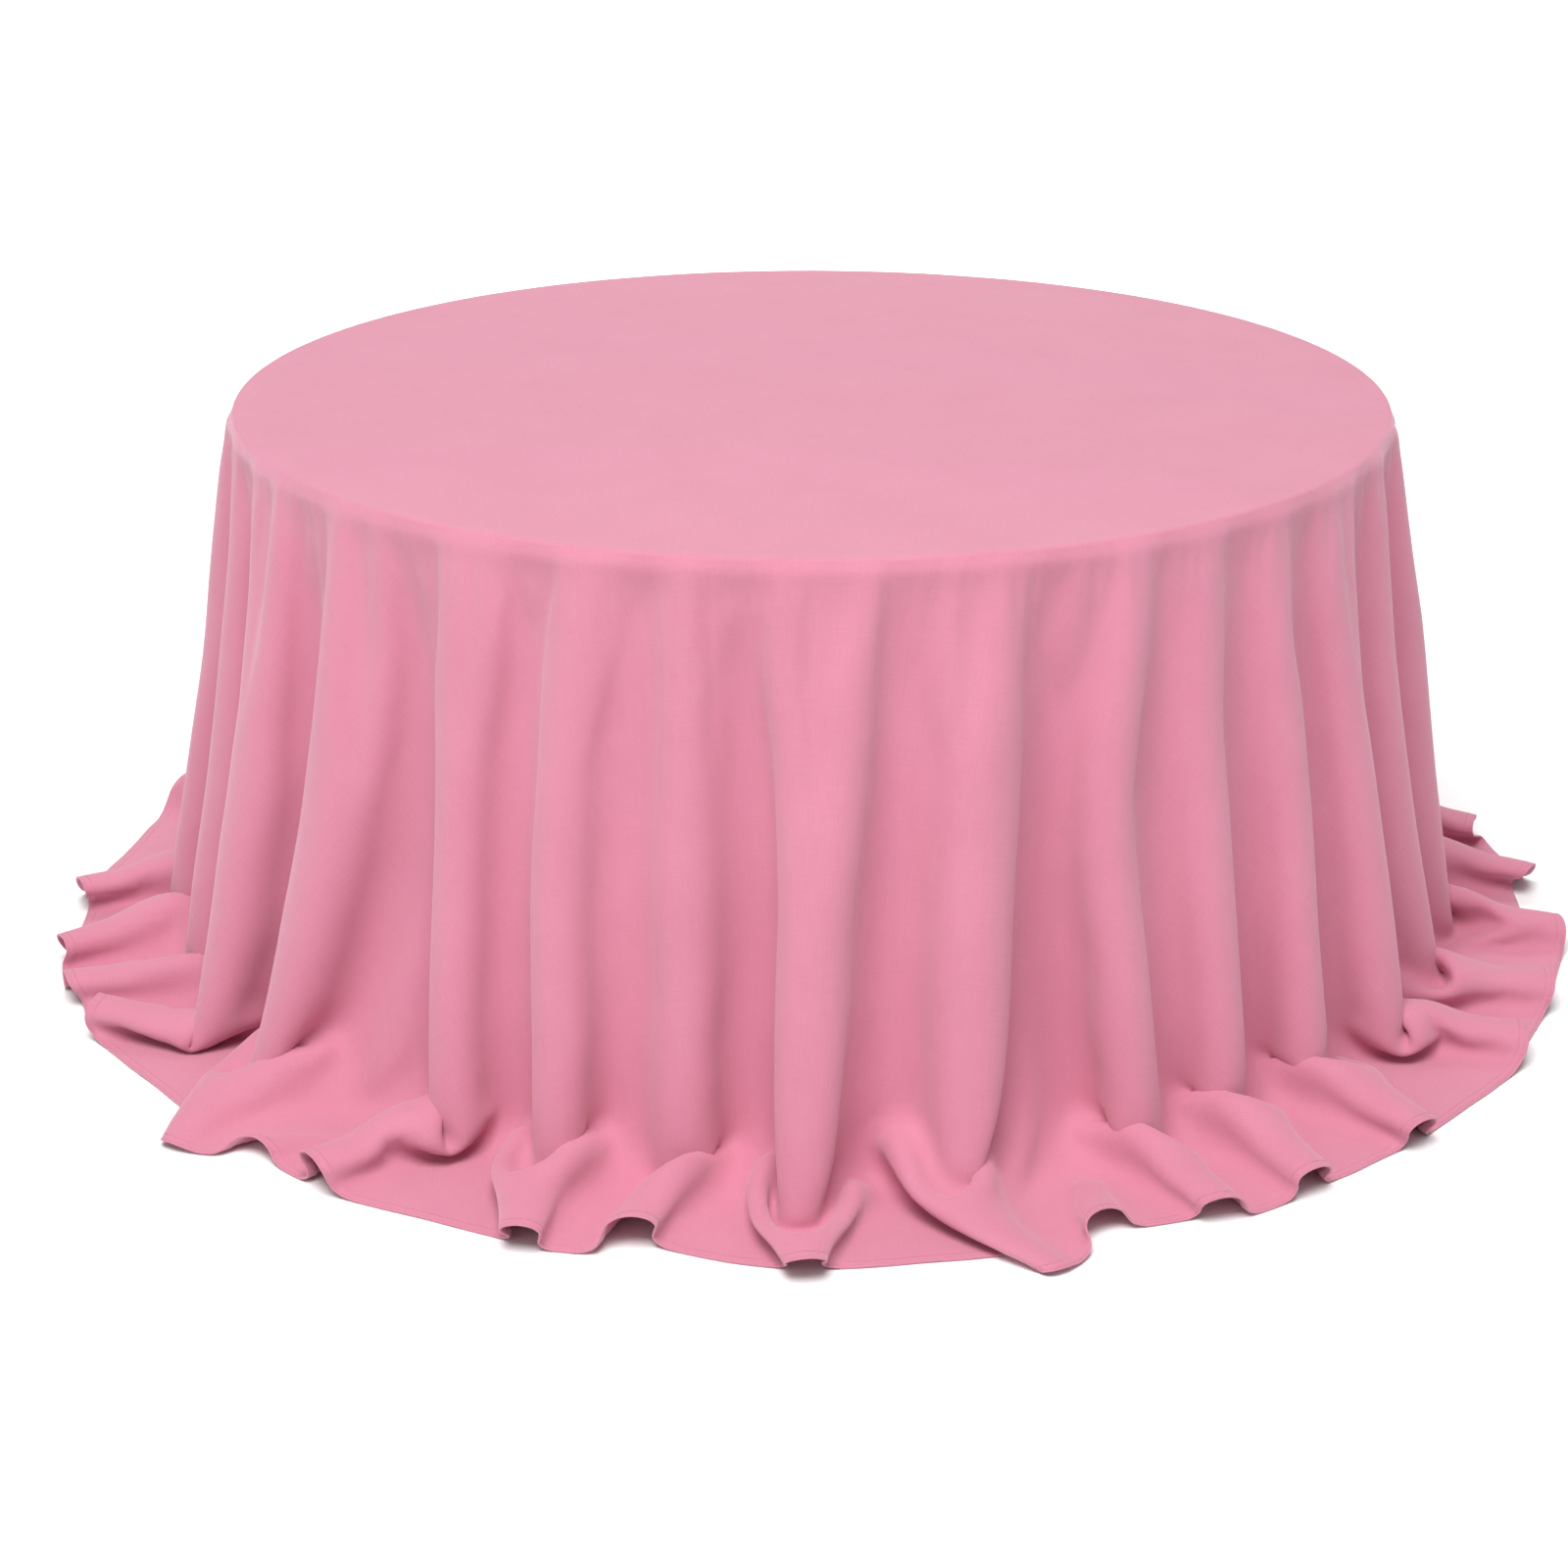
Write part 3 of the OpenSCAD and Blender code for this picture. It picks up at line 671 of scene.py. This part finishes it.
def makeCloth():
    radii = clothRadii()
    spokes = cloth["spokes"] * surface["spokeSplit"]
    turns = np.arange(spokes) / surface["spokeSplit"]
    grid = clearOfTable(surfaceAt(radii, turns))
    rimStart = surface["rimZone"][0] - surface["rimMargin"][0]
    rimEnd = surface["rimZone"][1] + surface["rimMargin"][1]
    onRim = np.nonzero((radii > rimStart) & (radii < rimEnd))[0]
    first, last = onRim[0], onRim[-1]
    for _ in range(surface["rimPasses"]):  # evens out the points round the rounded edge
        grid[first:last] = (grid[first - 1:last - 1] + 2 * grid[first:last] + grid[first + 1:last + 1]) / 4
        grid = clearOfTable(grid)
    angle = turns / cloth["spokes"] * 2 * np.pi
    flat = np.stack([radii[:, None] * np.sin(angle), -radii[:, None] * np.cos(angle)], -1)
    points, flatPoints = list(grid.reshape(-1, 3)), list(flat.reshape(-1, 2))
    faces = []
    for ring in range(len(radii) - 1):
        for j in range(spokes):
            k = (j + 1) % spokes
            here, below = ring * spokes, (ring + 1) * spokes
            faces.append((here + j, below + j, below + k, here + k))
    outer = list(range(spokes))
    for radius in surface["topRings"]:
        count = len(outer) // 4
        start = len(points)
        for i in range(count):
            a = i / count * 2 * math.pi
            points.append((radius * math.sin(a), -radius * math.cos(a), tableTop))
            flatPoints.append((radius * math.sin(a), -radius * math.cos(a)))
        for i in range(count):
            edge = [outer[(4 * i + m) % len(outer)] for m in range(5)]
            faces.append((start + i, *edge, start + (i + 1) % count))
        outer = list(range(start, start + count))
    faces.append(tuple(outer))
    obj = meshObject("draped_cloth", points, faces)
    giveFlatMap(obj.data, flatPoints)
    cleanMaterials(obj, pinkFace, pinkReverse)
    body = obj.modifiers.new("clothBody", "SOLIDIFY")
    body.thickness = cloth["thickness"]
    body.offset = 0
    body.material_offset = 1
    body.material_offset_rim = 0
    return obj


# The sewn edge.
hem = {
    "width": 0.014,
    "thickness": 0.0021,  # two turns of cloth under the edge
    "roll": 0.0010,  # how far the turned edge stands past the cloth
    "pucker": 0.00024,
    "puckerCount": 760,
    "stitchInset": 0.0115,
    "stitchPitch": 0.0036,
    "stitchLength": 0.0029,
    "threadWidth": 0.0007,
    "lowest": 0.0002,  # nothing sewn goes below this height
    "slopeInward": 0.004,  # the slope of the cloth is taken over this far inward
    "slopeAside": 0.25,  # and over this many spokes to each side
}


def edgeFrame(insets, turns):
    # surface points at insets from the edge, and their normals; a negative inset stands past the edge
    insets = np.asarray(insets, float)
    reach = clothRadius - np.maximum(insets, 0)
    here = surfaceAt(reach, turns)
    inside = surfaceAt(reach - hem["slopeInward"], turns)
    aside = hem["slopeAside"]
    along = surfaceAt(reach, turns + aside) - surfaceAt(reach, turns - aside)
    out = here - inside
    out /= np.linalg.norm(out, axis=-1, keepdims=True) + 1e-9
    normal = np.cross(out, along)
    normal /= np.linalg.norm(normal, axis=-1, keepdims=True) + 1e-9
    here = here + out * np.maximum(-insets, 0)[:, None, None]
    return here, normal


def makeHem():
    # turned edge: its section runs under the cloth, round the edge and just onto the face
    count = cloth["spokes"] * 3
    turns = np.arange(count) / 3
    half, thick, roll = cloth["thickness"] / 2, hem["thickness"], hem["roll"]
    section = [(hem["width"], -half), (hem["width"] - 0.0004, -thick * 0.85), (hem["width"] * 0.6, -thick),
               (0.0015, -thick), (-roll * 0.5, -thick * 0.75), (-roll, -thick * 0.3), (-roll * 0.6, half),
               (0.0003, half * 1.9), (0.0016, half * 1.3), (0.0020, half)]
    rng = np.random.default_rng(cloth["seed"] + 1)
    knots = rng.uniform(-1, 1, hem["puckerCount"])
    pucker = hem["pucker"] * smoothWeights(turns / cloth["spokes"] * len(knots), len(knots), True) @ knots
    here, normal = edgeFrame([d for d, n in section], turns)
    offset = np.array([n for d, n in section])[:, None] + pucker[None]
    points = here + normal * offset[..., None]
    points[..., 2] = np.maximum(points[..., 2], hem["lowest"])
    rows = len(section)
    faces = []
    for r in range(rows):
        s = (r + 1) % rows
        for j in range(count):
            k = (j + 1) % count
            faces.append((r * count + j, r * count + k, s * count + k, s * count + j))
    obj = meshObject("turned_hem", points.reshape(-1, 3), faces)
    angle = turns / cloth["spokes"] * 2 * np.pi
    flat = [((clothRadius - d) * np.stack([np.sin(angle), -np.cos(angle)], -1)) for d, n in section]
    giveFlatMap(obj.data, np.concatenate(flat))
    cleanMaterials(obj, pinkFace)
    return obj


def makeStitches():
    # one short raised loop of thread a stitch, on the face and on the hem's underside
    count = int(2 * math.pi * (clothRadius - hem["stitchInset"]) / hem["stitchPitch"])
    pitch = cloth["spokes"] / count
    share = hem["stitchLength"] / hem["stitchPitch"] / 2
    half = hem["threadWidth"] / 2
    sections = ((-1.0, 0.25), (-0.5, 0.9), (0.5, 0.9), (1.0, 0.25))
    points, faces = [], []
    for side, height in ((1, cloth["thickness"] / 2), (-1, hem["thickness"])):
        first = len(points)
        rings = []
        for place, size in sections:
            turns = (np.arange(count) + 0.5 + place * share) * pitch
            inset = hem["stitchInset"]
            here, normal = edgeFrame([inset - half, inset, inset + half], turns)
            across = here[0] - here[2]
            lift = normal[1] * side
            for x, up in ((-0.5, 0.1), (-0.25, 0.8), (0.25, 0.8), (0.5, 0.1)):
                rings.append(here[1] + across * x * size + lift * (height + half * 1.6 * up * size))
        stack = np.stack(rings, 1)  # one stitch a row, sixteen points a stitch
        stack[..., 2] = np.maximum(stack[..., 2], hem["lowest"])
        points += list(stack.reshape(-1, 3))
        for i in range(count):
            base = first + i * 16
            for ring in range(3):
                for m in range(4):
                    n = (m + 1) % 4
                    start = base + ring * 4
                    faces.append((start + m, start + n, start + 4 + n, start + 4 + m)[::side])
            faces.append(tuple(base + m for m in (3, 2, 1, 0))[::side])
            faces.append(tuple(base + 12 + m for m in (0, 1, 2, 3))[::side])
    obj = meshObject("hem_stitches", points, faces)
    cleanMaterials(obj, stitchThread)
    return obj


drapedCloth = makeCloth()
turnedHem = makeHem()
hemStitches = makeStitches()
for piece, node, slotName in ((drapedCloth, "tablecloth", "pink_cloth"), (turnedHem, "hem", "pink_cloth"),
                              (hemStitches, "hem_stitching", "sewing_thread")):
    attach(piece, "tablecloth")
    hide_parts(node)
print("cloth, hem and stitches made", len(drapedCloth.data.vertices))


# Floor, lights and camera.
room = {
    "floorSize": 60,
    "floorColour": (0.94, 0.94, 0.94),
    "skyStrength": 0.32,
    # place, size, watts, the point aimed at, and the spread in degrees; the last lights the floor behind
    "lights": [((-0.6, -3.4, 6.0), 3.6, 480, (0, -1.0, 0), 180),
               ((-2.4, -4.6, 2.6), 2.0, 16, (0, 0, 0.2), 180),
               ((3.4, -3.6, 2.6), 2.4, 6, (0, 0, 0.2), 180),
               ((0, 8.5, 6.0), 9.0, 900, (0, 8.0, 0), 90)],
    "cameraPlace": (-0.079, -4.033, 1.752),
    "cameraDown": 21.37,
    "cameraTurn": 0.61,
    "lens": 71.0,
}


def makeFloor():
    half = room["floorSize"] / 2
    corners = [(-half, -half, 0), (half, -half, 0), (half, half, 0), (-half, half, 0)]
    floor = meshObject("floor", corners, [(0, 1, 2, 3)], False)
    s = NodeSheet("paleFloor")
    soft = s.noise(s.stretched((1, 1, 1)), 1.5, 2)
    s.drive("Base Color", s.mixColours(soft, room["floorColour"], darker(room["floorColour"], 0.985)))
    s.setEvenly(Roughness=0.9, Specular_IOR_Level=0.1)
    cleanMaterials(floor, s.material)


def makeLights():
    world = bpy.data.worlds.new("softSky")
    bpy.context.scene.world = world
    world.use_nodes = True
    sky = world.node_tree.nodes["Background"]
    sky.inputs["Color"].default_value = (1, 1, 1, 1)
    sky.inputs["Strength"].default_value = room["skyStrength"]
    for number, (place, size, watts, aim, spread) in enumerate(room["lights"]):
        light = bpy.data.lights.new(f"softbox{number}", "AREA")
        light.size = size
        light.energy = watts
        light.spread = math.radians(spread)
        holder = bpy.data.objects.new(light.name, light)
        bpy.context.scene.collection.objects.link(holder)
        holder.location = place
        holder.rotation_euler = (Vector(aim) - Vector(place)).to_track_quat("-Z", "Y").to_euler()


def makeCamera():
    lens = bpy.data.cameras.new("camera")
    lens.sensor_width = 36
    lens.lens = room["lens"]
    camera = bpy.data.objects.new("camera", lens)
    bpy.context.scene.collection.objects.link(camera)
    camera.location = room["cameraPlace"]
    camera.rotation_euler = (math.radians(90 - room["cameraDown"]), 0, -math.radians(room["cameraTurn"]))
    bpy.context.scene.camera = camera


makeFloor()
makeLights()
makeCamera()
bpy.context.scene.view_settings.view_transform = "Standard"
print("room made")
